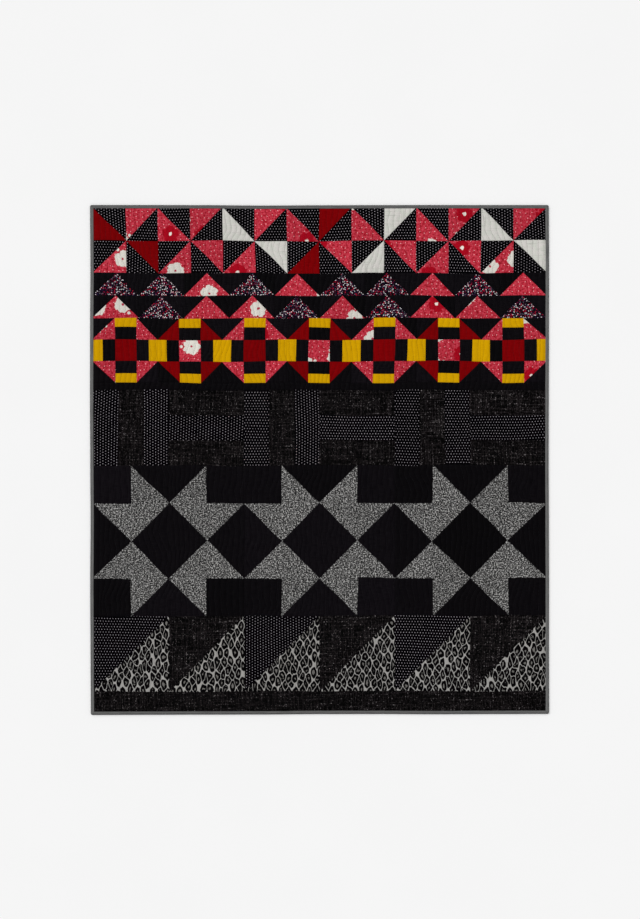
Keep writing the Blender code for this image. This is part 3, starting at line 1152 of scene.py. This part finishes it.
def sew(name, tree, lines, step, width, seed, thread):
    """Runs the stitch nodes along lines of points, and keeps the result as a plain mesh."""
    guide_mesh = bpy.data.meshes.new(f"{name} guide")
    starts = np.cumsum([0] + [len(line) for line in lines])
    edges = [
        (start + k, start + k + 1)
        for start, line in zip(starts, lines)
        for k in range(len(line) - 1)
    ]
    guide_mesh.from_pydata(np.vstack(lines).tolist(), edges, [])
    guide = placed(f"{name} guide", guide_mesh)
    modifier = guide.modifiers.new("stitches", "NODES")
    modifier.node_group = tree
    values = {
        "Step": step,
        "Stitch length": step * STITCH_SHARE,
        "Thread width": width,
        "Seed": seed,
        "Thread": thread,
    }
    for socket in tree.interface.items_tree:
        if socket.name in values:
            modifier[socket.identifier] = values[socket.name]
    evaluated = guide.evaluated_get(bpy.context.evaluated_depsgraph_get())
    mesh = bpy.data.meshes.new_from_object(evaluated)
    guide.modifiers.remove(modifier)
    bpy.data.objects.remove(guide)
    mesh.name = name
    mesh.materials.clear()
    mesh.materials.append(thread)
    mesh.shade_smooth()
    piece = placed(name, mesh)
    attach(piece, "root")


def make_stitches():
    """Quilting thread in every furrow, in two pieces, and the line that holds the binding down."""
    stop_short, point_step = 0.001, ROW_STEP * 0.8
    from_inner_edge, sunk = 0.0012, 0.0002
    tree = stitch_nodes()
    chance = np.random.default_rng(5)
    black = thread_finish("black quilting thread", "#161618")
    half_length = LENGTH / 2 - BINDING_REACH - stop_short
    lines = []
    for number in range(CHANNELS + 1):
        start = -half_length + chance.uniform(0, QUILTING_STITCH)
        y = np.arange(start, half_length, point_step)
        unshifted = number * LINE_PITCH - HALF_FIELD
        x = unshifted + grain_shift(np.full(len(y), unshifted), y)
        height = loft(x, y)[0] + THREAD_LIFT * QUILTING_THREAD
        lines.append(np.column_stack([*uneven(x, y), height]))
    middle = len(lines) // 2
    for name, part in (("quilting_left", lines[:middle]), ("quilting_right", lines[middle:])):
        sew(name, tree, part, QUILTING_STITCH, QUILTING_THREAD, seed=3, thread=black)
    grey = thread_finish("grey binding thread", "#5a5a5a")
    rows = []
    for side in range(4):
        line = side_line(side, BINDING_REACH - from_inner_edge)[CORNER_POINTS:-CORNER_POINTS]
        height = np.full(len(line), BINDING_HEIGHT - sunk)
        rows.append(np.column_stack([*uneven(line[:, 0], line[:, 1]), height]))
    sew("binding_stitching", tree, rows, BINDING_STITCH, BINDING_THREAD, seed=8, thread=grey)


def make_floor():
    """Seamless studio paper: pale and matte, with only the faintest tooth."""
    mesh = bpy.data.meshes.new("floor")
    corners = [(HALF_FLOOR * x, HALF_FLOOR * y, 0) for x, y in ((-1, -1), (1, -1), (1, 1), (-1, 1))]
    mesh.from_pydata(corners, [], [(0, 1, 2, 3)])
    material, tree, shader = surface("matte studio paper", roughness=1.0, specular=0.0)
    metres = add(tree, "ShaderNodeTexCoord", out="Object")
    fibres = add(tree, NOISE, {"Vector": metres, "Scale": 3.0, "Detail": 3.0})
    colour = print_over(tree, "#f2f2f2", "#f4f4f4", fibres, 0.0, 1.0)
    tree.links.new(colour, shader.inputs["Base Color"])
    mesh.materials.append(material)
    floor = placed("floor", mesh)


def make_light():
    """An even white surround, and a broad lamp from the upper left that models the quilting."""
    world = bpy.data.worlds.new("studio")
    world.use_nodes = True
    backdrop = world.node_tree.nodes["Background"]
    backdrop.inputs["Color"].default_value = (1.0, 1.0, 1.0, 1.0)
    backdrop.inputs["Strength"].default_value = SURROUND_STRENGTH
    bpy.context.scene.world = world
    lamp = bpy.data.lights.new("broad lamp", "SUN")
    lamp.energy = LAMP_STRENGTH
    lamp.angle = LAMP_SPREAD
    light = placed("broad lamp", lamp)
    light.rotation_euler = Vector(LAMP_SIDE).to_track_quat("Z", "Y").to_euler()
    bpy.context.scene.view_settings.view_transform = "Standard"


def make_camera():
    """Straight above the quilt, as it is seen face on, with its top edge uppermost."""
    lens = bpy.data.cameras.new("camera")
    distance = CAMERA_HEIGHT - cad_high.z
    lens.sensor_width = SENSOR_WIDTH_MM
    lens.lens = lens.sensor_width * distance / (FRAME_HEIGHT_PX * METRES_PER_PX)
    camera = placed("camera", lens)
    across = (FRAME_WIDTH_PX / 2 - QUILT_MIDDLE_PX[0]) * METRES_PER_PX
    along = (QUILT_MIDDLE_PX[1] - FRAME_HEIGHT_PX / 2) * METRES_PER_PX
    camera.location = (across, along, CAMERA_HEIGHT)
    bpy.context.scene.camera = camera


make_camera()
make_light()
make_floor()
make_backing()
make_top()
make_binding()
make_stitches()
